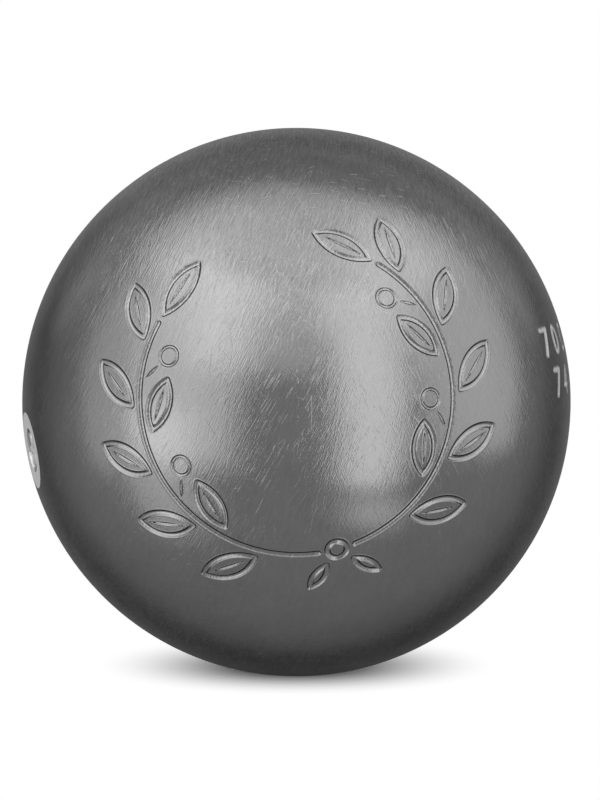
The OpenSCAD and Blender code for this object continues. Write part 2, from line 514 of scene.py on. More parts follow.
# Corners of each figure's strokes as shares of its width and height; the nought is an oval
FIGURE_STROKE_SHARES = {
    "7": ((0.0, 1.0), (1.0, 1.0), (0.35, 0.0)),
    "4": ((0.72, 0.0), (0.72, 1.0), (0.0, 0.3), (1.0, 0.3)),
}
OVAL_STEPS = 80


def figure_stroke(figure):
    """Flat points of a figure's stroke, with its lower left corner at the origin."""
    size = np.array([FIGURE_W - FIGURE_LINE_W, FIGURE_H - FIGURE_LINE_W])
    if figure == "0":
        turns = np.linspace(0, 2 * math.pi, OVAL_STEPS, endpoint=False)
        return (np.column_stack([np.cos(turns), np.sin(turns)]) + 1) / 2 * size
    corners = np.array(FIGURE_STROKE_SHARES[figure]) * size
    stretches = []
    for start, end in zip(corners, corners[1:]):
        steps = math.ceil(np.linalg.norm(end - start) / LINE_STEP)
        stretches.append(start + (end - start) * np.linspace(0, 1, steps, endpoint=False)[:, None])
    return np.concatenate([*stretches, corners[-1:]])


def figures():
    """Bright-cut figures in rows, centred on their place."""
    lines = []
    for row, word in enumerate(FIGURE_ROWS):
        y = ((len(FIGURE_ROWS) - 1) / 2 - row) * FIGURE_ROW_STEP - FIGURE_H / 2
        for column, figure in enumerate(word):
            x = (column - (len(word) - 1) / 2) * FIGURE_STEP - FIGURE_W / 2
            corner = np.array([x, y]) + FIGURE_LINE_W / 2
            points = wrap(figure_stroke(figure) + corner) @ FIGURES_PLACE.T
            half_widths = np.full(len(points), FIGURE_LINE_W / 2)
            lines.append(Line(points, half_widths, FIGURE_DEPTH, bright=1.0, closed=figure == "0"))
    return lines


class LineSet:
    """All engraved lines as one set of points, each joined to the point before it."""

    def __init__(self, lines):
        self.points = np.concatenate([line.points for line in lines])
        self.half_widths = np.concatenate([line.half_widths for line in lines])
        self.depths = np.concatenate([np.full(len(line.points), line.depth) for line in lines])
        self.bright = np.concatenate([np.full(len(line.points), line.bright) for line in lines])
        self.before = np.arange(len(self.points)) - 1
        self.after = np.arange(len(self.points)) + 1
        start = 0
        for line in lines:
            end = start + len(line.points) - 1
            self.before[start] = end if line.closed else start
            self.after[end] = start if line.closed else end
            start = end + 1
        self.tree = kdtree.KDTree(len(self.points))
        for i, point in enumerate(self.points):
            self.tree.insert(point, i)
        self.tree.balance()

    def measure(self, points):
        """Distance from each point to the nearest line, and that line's half width there."""
        nearest = np.array([self.tree.find(p)[1] for p in points], int)
        distance = np.full(len(points), np.inf)
        for other in (self.before[nearest], self.after[nearest]):
            start = self.points[nearest]
            step = self.points[other] - start
            square = (step**2).sum(1)
            share = ((points - start) * step).sum(1) / np.where(square > 0, square, 1)
            foot = start + step * np.clip(share, 0, 1)[:, None]
            distance = np.minimum(distance, np.linalg.norm(points - foot, axis=1))
        return distance, self.half_widths[nearest]

    def make_object(self):
        """Object whose edges are the lines, with their half widths, depths and finish as attributes."""
        edges = np.column_stack([np.arange(len(self.points)), self.after])
        edges = edges[edges[:, 0] != edges[:, 1]]
        mesh = bpy.data.meshes.new("engraved_lines")
        mesh.from_pydata(self.points.tolist(), edges.tolist(), [])
        finish = {"half_width": self.half_widths, "depth": self.depths, "bright": self.bright}
        for name, values in finish.items():
            attribute = mesh.attributes.new(name, "FLOAT", "POINT")
            attribute.data.foreach_set("value", values.astype(np.float32))
        return add_object("engraved_lines", mesh)


# Triangle meshes as arrays of points and of corner numbers

CAP_RINGS = 48
RIM_TOLERANCE = 0.001 * MM
WELD_EDGE_ROUNDS = 8

# Longest edge in the cuts and over a zone beside them, its growth beyond that zone, and its limit
FINE_EDGE = 0.22 * MM
FINE_ZONE = 0.2 * MM
EDGE_GROWTH = 0.7
COARSE_EDGE = 1.8 * MM

# Share of an edge over which its end slides onto an outline that crosses it; past it the edge is split
SLIDE_SHARE = 0.3


def weld_edge():
    """Radius and depth at which the weld's bevel meets the surface of the ball."""
    slope = (WELD_W - WELD_ROOT_W) / 2 / (BALL_R - WELD_ROOT_R)
    r = BALL_R
    for _ in range(WELD_EDGE_ROUNDS):
        depth = WELD_ROOT_W / 2 + slope * (r - WELD_ROOT_R)
        r = math.sqrt(BALL_R**2 - depth**2)
    return r, depth


RIM_R, RIM_DEPTH = weld_edge()
RIM_ANGLE = math.acos(RIM_DEPTH / BALL_R)


def round_y(ring):
    """Unit vectors round Y, six for each ring out from the pole."""
    turns = np.arange(6 * ring) * math.pi / (3 * ring)
    return np.column_stack([np.cos(turns), np.zeros(len(turns)), np.sin(turns)])


def cap():
    """Cap of the ball round -Y: a pole and rings of 6, 12, 18 and so on, out to the rim."""
    points = [np.array([[0.0, -BALL_R, 0.0]])]
    for ring in range(1, CAP_RINGS + 1):
        polar = RIM_ANGLE * ring / CAP_RINGS
        points.append(BALL_R * (math.sin(polar) * round_y(ring) - (0.0, math.cos(polar), 0.0)))
    faces = []
    for ring in range(CAP_RINGS):
        inner_start = 1 + 3 * ring * (ring - 1) if ring else 0
        outer_start = 1 + 3 * ring * (ring + 1)
        inner_count = max(6 * ring, 1)
        outer_count = 6 * (ring + 1)
        for sextant in range(6):
            for j in range(ring + 1):
                inner = inner_start + (sextant * ring + j) % inner_count
                inner_next = inner_start + (sextant * ring + j + 1) % inner_count
                outer = outer_start + (sextant * (ring + 1) + j) % outer_count
                outer_next = outer_start + (sextant * (ring + 1) + j + 1) % outer_count
                faces.append((inner, outer, outer_next))
                if j < ring:
                    faces.append((inner, outer_next, inner_next))
    return np.concatenate(points), np.array(faces)


def edges_of(faces, point_count):
    """Edges as pairs of points, and the edge at each side of each triangle."""
    sides = np.sort(faces[:, [[0, 1], [1, 2], [2, 0]]], axis=2)
    keys, which = np.unique(sides[..., 0] * point_count + sides[..., 1], return_inverse=True)
    return np.column_stack([keys // point_count, keys % point_count]), which.reshape(-1, 3)


def split_edges(points, faces, which, marked, new_points):
    """Splits each marked edge at its new point, and its triangles into two, three or four."""
    new_index = np.full(len(marked), -1)
    new_index[marked] = len(points) + np.arange(marked.sum())
    points = np.concatenate([points, new_points])
    cuts = new_index[which]
    count = (cuts >= 0).sum(1)
    made = [faces[count == 0]]

    def rolled(chosen, first):
        columns = (first[chosen, None] + np.arange(3)) % 3
        corners = np.take_along_axis(faces[chosen], columns, 1)
        middles = np.take_along_axis(cuts[chosen], columns, 1)
        return [*corners.T, *middles.T]

    a, b, c, ab, _, _ = rolled(count == 1, (cuts >= 0).argmax(1))
    made += [np.column_stack(t) for t in ((a, ab, c), (ab, b, c))]
    a, b, c, ab, bc, _ = rolled(count == 2, (cuts < 0).argmax(1) + 1)
    near = np.linalg.norm(points[a] - points[bc], axis=1) < np.linalg.norm(points[ab] - points[c], axis=1)
    made += [
        np.column_stack((ab, b, bc)),
        np.column_stack((a, ab, np.where(near, bc, c))),
        np.column_stack((np.where(near, a, ab), bc, c)),
    ]
    a, b, c, ab, bc, ca = rolled(count == 3, np.zeros(len(faces), int))
    made += [np.column_stack(t) for t in ((a, ab, ca), (ab, b, bc), (ca, bc, c), (ab, bc, ca))]
    return points, np.concatenate(made)


def on_ball(points):
    """Moves points out to the ball, but those on the rim's plane only to the rim."""
    moved = points * (BALL_R / np.linalg.norm(points, axis=1))[:, None]
    rim = points[:, 1] > -RIM_DEPTH - RIM_TOLERANCE
    across = points[rim][:, [0, 2]]
    across *= (RIM_R / np.linalg.norm(across, axis=1))[:, None]
    moved[rim] = np.column_stack([across[:, 0], np.full(len(across), -RIM_DEPTH), across[:, 1]])
    return moved


def refine(points, faces, allowed):
    """Splits edges longer than allowed, each with its triangles' longest edges, until none is left."""
    while True:
        edges, which = edges_of(faces, len(points))
        lengths = np.linalg.norm(points[edges[:, 0]] - points[edges[:, 1]], axis=1)
        middles = on_ball(points[edges].mean(1))
        marked = lengths > FINE_EDGE
        marked[marked] = lengths[marked] > allowed(middles[marked])
        if not marked.any():
            return points, faces
        longest = which[np.arange(len(faces)), lengths[which].argmax(1)]
        added = True
        while added:
            wanted = longest[marked[which].any(1)]
            added = not marked[wanted].all()
            marked[wanted] = True
        points, faces = split_edges(points, faces, which, marked, middles[marked])


def cut_at(points, faces, pinned, measure):
    """Runs edges along the zero of a measure, after the free points next to it have slid onto it."""
    values = measure(points)
    edges, which = edges_of(faces, len(points))
    first, second = values[edges].T
    crossed = np.nonzero(first * second < 0)[0]
    share = first[crossed] / (first[crossed] - second[crossed])
    ends = edges[crossed]
    steps = points[ends[:, 1]] - points[ends[:, 0]]
    places = points[ends[:, 0]] + share[:, None] * steps
    slide = np.minimum(share, 1 - share)
    nearer = np.where(share < 0.5, ends[:, 0], ends[:, 1])
    near = (slide < SLIDE_SHARE) & ~pinned[nearer]
    order = np.argsort(-slide[near])
    movers = nearer[near][order]
    points = points.copy()
    points[movers] = places[near][order]
    values[movers] = 0.0
    first, second = values[edges].T
    marked = first * second < 0
    share = first[marked] / (first[marked] - second[marked])
    ends = edges[marked]
    places = points[ends[:, 0]] + share[:, None] * (points[ends[:, 1]] - points[ends[:, 0]])
    points, faces = split_edges(points, faces, which, marked, places)
    pinned = np.append(pinned, np.ones(len(places), bool))
    pinned[movers] = True
    return on_ball(points), faces, pinned


# The round mark: a flat cut, and in it a recess whose floor carries a rosette

MARK_FLAT_Z = math.sqrt(BALL_R**2 - MARK_R**2)
MARK_FLOOR_R = MARK_R - MARK_RING_W
MARK_DRAFT = 0.08 * MM
PETAL_LEN = PETAL_SHARE * MARK_FLOOR_R
PETAL_ROUNDING = 0.28 * MM
MARK_EDGE_ZONE = 0.5 * MM

# A corner's normal is read this share of the way to its triangle's centre, over this much to each side
NORMAL_SHARE = 0.2
NORMAL_STEP = 0.01 * MM

# A point counts as inside a radius up to this share of it
INSIDE_SHARE = 0.999


def in_mark(points):
    """Points in the mark's own axes, whose z runs out along it."""
    return points @ MARK_PLACE


def from_mark_axis(points):
    """Distance from the mark's axis, on the mark's side of the ball."""
    local = in_mark(points)
    return np.where(local[:, 2] > 0, np.hypot(local[:, 0], local[:, 1]), BALL_R)


def outside_rosette(local):
    """Distance outside the rosette's outline, negative inside."""
    turns = np.arctan2(local[:, 1], local[:, 0])
    radius = np.hypot(local[:, 0], local[:, 1])
    step = 2 * math.pi / PETAL_COUNT
    turns = (turns + step / 2) % step - step / 2
    x = radius * np.cos(turns) - PETAL_LEN / 2
    y = np.abs(radius * np.sin(turns))
    width = PETAL_W_SHARE * PETAL_LEN
    arc_r = lens_arc_r(PETAL_LEN, width)
    petal = np.hypot(x, y + arc_r - width / 2) - arc_r
    return np.minimum(petal, radius - ROSETTE_BOSS_R)


def mark_height(local):
    """Height of the mark's surface along its axis."""
    radius = np.hypot(local[:, 0], local[:, 1])
    drop = np.clip((MARK_FLOOR_R - radius) / MARK_DRAFT, 0, 1) * MARK_DEPTH
    inside = np.clip(-outside_rosette(local) / PETAL_ROUNDING, 0, 1)
    return MARK_FLAT_Z - drop + ROSETTE_H * np.sqrt(1 - (1 - inside) ** 2)


def carve_mark(points):
    """Lowers the points inside the mark onto its surface."""
    local = in_mark(points)
    inside = from_mark_axis(points) < MARK_R
    local[inside, 2] = mark_height(local[inside])
    return local @ MARK_PLACE.T


def mark_normals(corners, centres):
    """Normals of the mark's surface a little way from each corner towards its triangle's centre."""
    local = in_mark(corners + (centres - corners) * NORMAL_SHARE)
    slopes = []
    for step in ((NORMAL_STEP, 0.0, 0.0), (0.0, NORMAL_STEP, 0.0)):
        rise = mark_height(local + step) - mark_height(local - step)
        slopes.append(rise / (2 * NORMAL_STEP))
    normals = np.column_stack([-slopes[0], -slopes[1], np.ones(len(local))])
    return normals / np.linalg.norm(normals, axis=1)[:, None] @ MARK_PLACE.T


def engraved_surface(lines):
    """Outer surface of the front half, with edges along the lines' rims and the mark's outlines."""

    def allowed(points):
        distance, half_width = lines.measure(points)
        from_line = np.maximum(distance - half_width - FINE_ZONE, 0)
        from_mark = np.maximum(from_mark_axis(points) - MARK_R - MARK_EDGE_ZONE, 0)
        return np.minimum(FINE_EDGE + EDGE_GROWTH * np.minimum(from_line, from_mark), COARSE_EDGE)

    def at_rim(beyond):
        def measure(points):
            distance, half_width = lines.measure(points)
            return distance - half_width - beyond
        return measure

    def at_wall(points):
        distance, half_width = lines.measure(points)
        return distance - WALL_SHARE * half_width

    def at_radius(radius):
        return lambda points: from_mark_axis(points) - radius

    def at_rosette(points):
        inside = from_mark_axis(points) < MARK_FLOOR_R - MARK_DRAFT
        return np.where(inside, outside_rosette(in_mark(points)), MARK_R)

    points, faces = refine(*cap(), allowed)
    pinned = np.zeros(len(points), bool)
    measures = [at_rim(beyond) for beyond in (0.0, BURR_W, BURR_FLANK_SHARE * BURR_W)]
    measures.append(at_wall)
    measures += [at_radius(r) for r in (MARK_R, MARK_FLOOR_R, MARK_FLOOR_R - MARK_DRAFT)]
    measures.append(at_rosette)
    for measure in measures:
        points, faces, pinned = cut_at(points, faces, pinned, measure)
    return carve_mark(points), faces


# Half-shells and weld ring as closed meshes

OUTER, WALL, MARK = range(3)
CAVITY_RINGS = 24
WELD_ARC_STEPS = 8


def rim_loop(points, faces):
    """Numbers of the rim's points in the order in which the surface's triangles run."""
    sides = faces[:, [[0, 1], [1, 2], [2, 0]]].reshape(-1, 2)
    on_rim = np.abs(points[:, 1] + RIM_DEPTH) < RIM_TOLERANCE
    rim_sides = sides[on_rim[sides].all(1)]
    count = len(points)
    forward = rim_sides[:, 0] * count + rim_sides[:, 1]
    backward = rim_sides[:, 1] * count + rim_sides[:, 0]
    rim_sides = rim_sides[~np.isin(forward, backward)]
    follows = dict(rim_sides.tolist())
    loop = [int(rim_sides[0, 0])]
    while follows[loop[-1]] != loop[0]:
        loop.append(follows[loop[-1]])
    return np.array(loop)


def add_walls(points, faces, profile):
    """Closes a surface with rings that follow a profile of radius and y inwards from its rim."""
    loop = rim_loop(points, faces)
    turns = np.arctan2(points[loop, 2], points[loop, 0])
    around = np.column_stack([np.cos(turns), np.zeros(len(turns)), np.sin(turns)])
    all_points = [points]
    all_faces = [faces]
    last = loop
    for radius, y in profile[:-1]:
        ring = sum(len(p) for p in all_points) + np.arange(len(loop))
        all_points.append(around * radius + (0.0, y, 0.0))
        all_faces.append(np.column_stack([np.roll(last, -1), last, ring]))
        all_faces.append(np.column_stack([np.roll(last, -1), ring, np.roll(ring, -1)]))
        last = ring
    pole = sum(len(p) for p in all_points)
    all_points.append(np.array([[0.0, profile[-1][1], 0.0]]))
    all_faces.append(np.column_stack([np.roll(last, -1), last, np.full(len(last), pole)]))
    return np.concatenate(all_points), np.concatenate(all_faces)


def cavity_profile(depth):
    """Radius and y of rings over the cavity's wall from a depth to its pole."""
    angles = np.linspace(math.acos(depth / CAVITY_R), 0, CAVITY_RINGS)
    return [(CAVITY_R * math.sin(a), -CAVITY_R * math.cos(a)) for a in angles]


def wall_profile(register_r, register_y):
    """Weld bevel, butt face, spigot or counterbore, and cavity of a half-shell that faces -Y."""
    return [
        (WELD_ROOT_R, -WELD_ROOT_W / 2),
        (WELD_ROOT_R, 0.0),
        (register_r, 0.0),
        (register_r, register_y),
        *cavity_profile(-register_y),
    ]


def unit(vectors):
    """Vectors at length 1."""
    return vectors / np.linalg.norm(vectors, axis=1)[:, None]


def make_mesh(name, points, faces, kinds):
    """Mesh whose faces carry their kind: the ball's own surface, an inner wall or the mark."""
    mesh = bpy.data.meshes.new(name)
    mesh.from_pydata(points.tolist(), [], faces.tolist())
    mesh.attributes.new("kind", "INT", "FACE").data.foreach_set("value", kinds.astype(np.int32))
    return add_object(name, mesh)


def read_all(items, name, kind=float):
    """One number of each of a mesh's items."""
    values = np.zeros(len(items), kind)
    items.foreach_get(name, values)
    return values


def read_vectors(items, name):
    """One vector of each of a mesh's items."""
    values = np.zeros(len(items) * 3)
    items.foreach_get(name, values)
    return values.reshape(-1, 3)


def shade(obj):
    """Gives each corner the normal of the true surface, so that triangles and seams don't show."""
    mesh = obj.data
    corners = read_all(mesh.loops, "vertex_index", np.int32)
    points = read_vectors(mesh.vertices, "co")
    kinds = np.repeat(read_all(mesh.attributes["kind"].data, "value", np.int32), 3)
    triangles = points[corners].reshape(-1, 3, 3)
    flat = unit(np.cross(triangles[:, 1] - triangles[:, 0], triangles[:, 2] - triangles[:, 0]))
    normals = np.repeat(flat, 3, axis=0)
    true_normals = unit(points)
    if "surface_normal" in mesh.attributes:
        true_normals = read_vectors(mesh.attributes["surface_normal"].data, "vector")
    normals[kinds == OUTER] = true_normals[corners[kinds == OUTER]]
    centres = np.repeat(triangles.mean(1), 3, axis=0)
    marked = kinds == MARK
    if marked.any():
        normals[marked] = mark_normals(points[corners[marked]], centres[marked])
    mesh.shade_smooth()
    mesh.normals_split_custom_set(normals.tolist())


# Engraving, made with Geometry Nodes: lines sunk into a surface, with a raised burr at their rims

GROOVE_POWER = 1.15
THINNEST_LINE = 0.001 * MM
BURR_W = 0.14 * MM
BURR_H = 0.022 * MM
BURR_FALL = 4.0
SLOPE_STEP = 0.02 * MM

# Where the groove's wall and the burr's flank are steepest, as shares of their widths
WALL_SHARE = 0.85
BURR_FLANK_SHARE = 0.36


def groove_profile():
    """Group for the height of the surface at a distance from the middle of a line."""
    inputs = ("Distance", "Half Width", "Depth", "Burr Width", "Burr Height")
    tree, given, out = new_group("groove_profile", "GeometryNodeTree", inputs, ("Height",))
    half_width = calc(tree, "MAXIMUM", given["Half Width"], THINNEST_LINE)
    across = calc(tree, "DIVIDE", given["Distance"], half_width)
    inside = calc(tree, "SUBTRACT", 1.0, product(tree, across, across), clamp=True)
    groove = product(tree, calc(tree, "POWER", inside, GROOVE_POWER), given["Depth"])
    beyond = calc(tree, "DIVIDE", calc(tree, "SUBTRACT", given["Distance"], given["Half Width"]),
                  given["Burr Width"])
    swell = calc(tree, "EXPONENT", product(tree, beyond, beyond, -BURR_FALL))
    burr = product(tree, swell, given["Burr Height"])
    feed(tree, out["Height"], calc(tree, "SUBTRACT", burr, groove))
    return tree


def engraving_tree():
    """Tree that sinks the lines of an object into a ball's surface and stores their finish masks."""
    inputs = ("Geometry", "Lines", "Burr Width", "Burr Height", "Material")
    tree, given, out = new_group("engraving", "GeometryNodeTree", inputs, ("Geometry",))
    profile = groove_profile()
    lines = add_node(tree, "GeometryNodeObjectInfo", Object=given["Lines"]).outputs["Geometry"]
    near = add_node(tree, "GeometryNodeProximity", {"target_element": "EDGES"}, Geometry=lines).outputs
    nearest = add_node(tree, "GeometryNodeSampleNearest", {"domain": "POINT"}, Geometry=lines)
    index = nearest.outputs["Index"]

    def line_value(name):
        attribute = add_node(tree, "GeometryNodeInputNamedAttribute", {"data_type": "FLOAT"}, Name=name)
        sample = add_node(tree, "GeometryNodeSampleIndex", {"data_type": "FLOAT", "domain": "POINT"},
                          Geometry=lines, Value=open_socket(attribute.outputs, "Attribute"), Index=index)
        return open_socket(sample.outputs, "Value")

    half_width = line_value("half_width")
    depth = line_value("depth")
    bright = line_value("bright")

    def height_at(distance):
        return use_group(tree, profile, Distance=distance, Half_Width=half_width, Depth=depth,
                         Burr_Width=given["Burr Width"], Burr_Height=given["Burr Height"])["Height"]

    position = tree.nodes.new("GeometryNodeInputPosition").outputs["Position"]
    outward = vector_calc(tree, "NORMALIZE", position)
    height = height_at(near["Distance"])
    ahead = height_at(calc(tree, "ADD", near["Distance"], SLOPE_STEP))
    behind = height_at(calc(tree, "SUBTRACT", near["Distance"], SLOPE_STEP))
    slope = calc(tree, "DIVIDE", calc(tree, "SUBTRACT", ahead, behind), 2 * SLOPE_STEP)
    away = vector_calc(tree, "NORMALIZE", vector_calc(tree, "SUBTRACT", position, near["Position"]))
    normal = vector_calc(tree, "SUBTRACT", outward, vector_calc(tree, "SCALE", away, scale=slope))
    sunk = calc(tree, "DIVIDE", product(tree, height, -1.0), depth, clamp=True)
    stores = (
        ("surface_normal", "FLOAT_VECTOR", vector_calc(tree, "NORMALIZE", normal)),
        ("engraved", "FLOAT", product(tree, sunk, calc(tree, "SUBTRACT", 1.0, bright))),
        ("bright_cut", "FLOAT", product(tree, sunk, bright)),
    )
    geometry = given["Geometry"]
    for name, data_type, value in stores:
        settings = {"data_type": data_type, "domain": "POINT"}
        store = add_node(tree, "GeometryNodeStoreNamedAttribute", settings,
                         Geometry=geometry, Name=name, Value=value)
        geometry = store.outputs["Geometry"]
    offset = vector_calc(tree, "SCALE", outward, scale=height)
    moved = add_node(tree, "GeometryNodeSetPosition", Geometry=geometry, Offset=offset)
    whole = add_node(tree, "GeometryNodeRealizeInstances", Geometry=moved.outputs["Geometry"])
    finished = add_node(tree, "GeometryNodeSetMaterial", Geometry=whole.outputs["Geometry"],
                        Material=given["Material"])
    feed(tree, out["Geometry"], finished.outputs["Geometry"])
    return tree


def finish_mark(mesh):
    """Marks the mark's rosette and flat ring as bright cut, and all of it as not engraved."""
    points = read_vectors(mesh.vertices, "co")
    from_axis = from_mark_axis(points)
    inside = from_axis < MARK_R * INSIDE_SHARE
    ring = from_axis > MARK_FLOOR_R * INSIDE_SHARE
    cut = inside & (ring | (outside_rosette(in_mark(points)) < 0))
    for name, finish in (("bright_cut", cut), ("engraved", np.zeros(len(points)))):
        attribute = mesh.attributes[name].data
        values = read_all(attribute, "value", np.float32)
        values[inside] = finish[inside]
        attribute.foreach_set("value", values)


def engrave(obj, lines_object, material):
    """Engraves the lines into an object's mesh and leaves it with no modifier."""
    tree = engraving_tree()
    modifier = obj.modifiers.new("engraving", "NODES")
    modifier.node_group = tree
    values = {"Lines": lines_object, "Burr Width": BURR_W, "Burr Height": BURR_H, "Material": material}
    for item in tree.interface.items_tree:
        if item.in_out == "INPUT" and item.name in values:
            modifier[item.identifier] = values[item.name]
    evaluated = obj.evaluated_get(bpy.context.evaluated_depsgraph_get())
    mesh = bpy.data.meshes.new_from_object(evaluated)
    obj.modifiers.remove(modifier)
    plain = obj.data
    obj.data = mesh
    bpy.data.meshes.remove(plain)


# Finishes, whose patterns are in millimetres over the ball

# Tones of the steel seen straight on, of its sheen near the edge, of its bright cuts, and how much
# lighter it is in the grooves
STEEL_BASE = 0.12
STEEL_EDGE = 0.27
BRIGHT_CUT_BASE = 0.34
GROOVE_LIGHTENING = 1.15

# Roughness of the steel, what is added near the edge, and the height of the marks' relief
STEEL_ROUGHNESS = 0.19
RIM_ROUGHENING = 0.31
MARK_HEIGHT = 0.007 * MM

# What the patterns add on average to tone and roughness, which is taken off again
SHELL_ADDED_TONE = 0.034
SHELL_ADDED_ROUGHNESS = 0.09
WELD_ADDED_TONE = 0.022
WELD_ADDED_ROUGHNESS = 0.07


def position_mm(tree):
    """Object coordinates in millimetres."""
    position = tree.nodes.new("ShaderNodeTexCoord").outputs["Object"]
    return vector_calc(tree, "SCALE", position, scale=1 / MM)


def noise(tree, place, scale, detail, roughness):
    """Soft noise whose middle is 0.5."""
    return add_node(tree, "ShaderNodeTexNoise", {"noise_dimensions": "3D"}, Vector=place, Scale=scale,
                    Detail=detail, Roughness=roughness).outputs["Fac"]


def split(tree, vector):
    """A vector's X, Y and Z."""
    return add_node(tree, "ShaderNodeSeparateXYZ", Vector=vector).outputs


def join(tree, x, y, z):
    """Vector of three numbers."""
    return add_node(tree, "ShaderNodeCombineXYZ", X=x, Y=y, Z=z).outputs["Vector"]


def cells(tree, place):
    """Centre, colour and distance of the random cells, about 1 wide, that fill space."""
    return add_node(tree, "ShaderNodeTexVoronoi", {"voronoi_dimensions": "3D", "feature": "F1"},
                    Vector=place, Scale=1.0).outputs


def drawn_strength(tree, draw, cover, weakest):
    """Random strength of a cell's mark, for the covered share of the cells, and 0 for the rest."""
    chosen = calc(tree, "LESS_THAN", draw["Z"], cover)
    return product(tree, chosen, fade(tree, draw["Y"], start=0.0, end=1.0, low=weakest))


def turned_and_stretched(tree, given, width):
    """Position with the marks' axis turned to X, and the same in widths and lengths of a mark."""
    turned = add_node(tree, "ShaderNodeVectorRotate", {"rotation_type": "EULER_XYZ"},
                      Vector=given["Position"], Rotation=given["Axis Turn"]).outputs["Vector"]
    size = join(tree, width, given["Length"], given["Length"])
    stretched = vector_calc(tree, "DIVIDE", turned, size)
    return turned, vector_calc(tree, "ADD", stretched, given["Seed"])


def steel_clouds_and_shade():
    """Group for what all the steel shares: clouds and a mottle, and painted shade that darkens its
    underside.
    """
    tree, given, out = new_group("steel_clouds_and_shade", "ShaderNodeTree", ("Position",), ("Tone", "Roughness"))
    cloud = noise(tree, given["Position"], scale=0.045, detail=3.0, roughness=0.55)
    mottle = noise(tree, given["Position"], scale=0.22, detail=3.0, roughness=0.6)
    height = split(tree, given["Position"])["Z"]
    # Painted shade: the steel's tone grows darker towards the bottom of the ball
    painted_underside_shade = fade(tree, height, start=-28.0, end=-8.0, low=1.0, high=0.0)
    feed(tree, out["Tone"], total(tree, (cloud, 0.026), (mottle, 0.016), (painted_underside_shade, -0.024)))
    feed(tree, out["Roughness"], total(tree, (cloud, 0.08), (mottle, 0.05)))
    return tree


def brush_marks():
    """Group for fine marks in circles round an axis: noise that is fine along it and long round it."""
    inputs = ("Position", "Axis Turn", "Width", "Length", "Seed")
    tree, given, out = new_group("brush_marks", "ShaderNodeTree", inputs, ("Marks",))
    turned, stretched = turned_and_stretched(tree, given, given["Width"])
    value = noise(tree, stretched, scale=1.0, detail=1.0, roughness=0.55)
    from_pole = calc(tree, "ABSOLUTE", split(tree, vector_calc(tree, "NORMALIZE", turned))["X"])
    clear_of_pole = fade(tree, from_pole, start=0.86, end=0.97, low=1.0, high=0.0)
    marks = fade(tree, value, start=0.3, end=0.72)
    feed(tree, out["Marks"], product(tree, marks, clear_of_pole))
    return tree


def brush_lines():
    """Group for crisp single marks round an axis: one in each long, narrow cell."""
    inputs = ("Position", "Axis Turn", "Spacing", "Length", "Width", "Cover", "Seed")
    tree, given, out = new_group("brush_lines", "ShaderNodeTree", inputs, ("Marks",))
    _, stretched = turned_and_stretched(tree, given, given["Spacing"])
    cell = cells(tree, stretched)
    from_centre = vector_calc(tree, "ABSOLUTE", vector_calc(tree, "SUBTRACT", stretched, cell["Position"]))
    across = product(tree, split(tree, from_centre)["X"], given["Spacing"])
    across = calc(tree, "DIVIDE", across, given["Width"])
    line = fade(tree, across, start=0.15, end=0.6, low=1.0, high=0.0)
    ends = fade(tree, cell["Distance"], start=0.25, end=0.5, low=1.0, high=0.0)
    strength = drawn_strength(tree, split(tree, cell["Color"]), given["Cover"], weakest=0.15)
    feed(tree, out["Marks"], product(tree, line, ends, strength))
    return tree


def hairlines():
    """Group for single scratches: a straight one in each cell, which strays from circles round an axis."""
    inputs = ("Position", "Axis", "Cell", "Length", "Width", "Stray", "Cover", "Seed")
    tree, given, out = new_group("hairlines", "ShaderNodeTree", inputs, ("Marks",))
    outward = vector_calc(tree, "NORMALIZE", given["Position"])
    density = calc(tree, "DIVIDE", 1.0, given["Cell"])
    scaled = vector_calc(tree, "ADD", vector_calc(tree, "SCALE", given["Position"], scale=density),
                         given["Seed"])
    cell = cells(tree, scaled)
    local = vector_calc(tree, "SCALE", vector_calc(tree, "SUBTRACT", scaled, cell["Position"]),
                        scale=given["Cell"])
    round_axis = vector_calc(tree, "NORMALIZE", vector_calc(tree, "CROSS_PRODUCT", given["Axis"], outward))
    random = vector_calc(tree, "SUBTRACT", cell["Color"], (0.5, 0.5, 0.5))
    strayed = vector_calc(tree, "ADD", round_axis, vector_calc(tree, "SCALE", random, scale=given["Stray"]))
    lift = vector_calc(tree, "DOT_PRODUCT", strayed, outward)
    flat = vector_calc(tree, "SUBTRACT", strayed, vector_calc(tree, "SCALE", outward, scale=lift))
    run = vector_calc(tree, "NORMALIZE", flat)
    side = vector_calc(tree, "CROSS_PRODUCT", outward, run)
    draw = split(tree, cell["Color"])
    half_share = fade(tree, draw["X"], start=0.0, end=1.0, low=0.25, high=0.5)
    half_length = product(tree, given["Length"], half_share)

    def share_away(way, size):
        distance = calc(tree, "ABSOLUTE", vector_calc(tree, "DOT_PRODUCT", local, way))
        return calc(tree, "DIVIDE", distance, size)

    line = fade(tree, share_away(side, given["Width"]), start=0.1, end=0.5, low=1.0, high=0.0)
    reach = fade(tree, share_away(run, half_length), start=0.4, end=1.0, low=1.0, high=0.0)
    strength = drawn_strength(tree, draw, given["Cover"], weakest=0.2)
    feed(tree, out["Marks"], product(tree, line, reach, strength))
    return tree


def mask(tree, name):
    """Value of the mesh attribute that masks a finish."""
    node = tree.nodes.new("ShaderNodeAttribute")
    node.attribute_name = name
    return node.outputs["Fac"]


def finish_steel(tree, shader, roughness, height):
    """Makes a shader dull metal, rougher where it is seen edge on, with a relief of fine marks."""
    facing = add_node(tree, "ShaderNodeLayerWeight", Blend=0.5).outputs["Facing"]
    rim = fade(tree, facing, start=0.5, end=0.9, high=RIM_ROUGHENING)
    feed(tree, shader.inputs["Roughness"], calc(tree, "ADD", roughness, rim))
    shader.inputs["Metallic"].default_value = 1.0
    shader.inputs["Specular Tint"].default_value = (STEEL_EDGE, STEEL_EDGE, STEEL_EDGE, 1.0)
    bump = add_node(tree, "ShaderNodeBump", Strength=1.0, Distance=MARK_HEIGHT, Height=height)
    feed(tree, shader.inputs["Normal"], bump.outputs["Normal"])


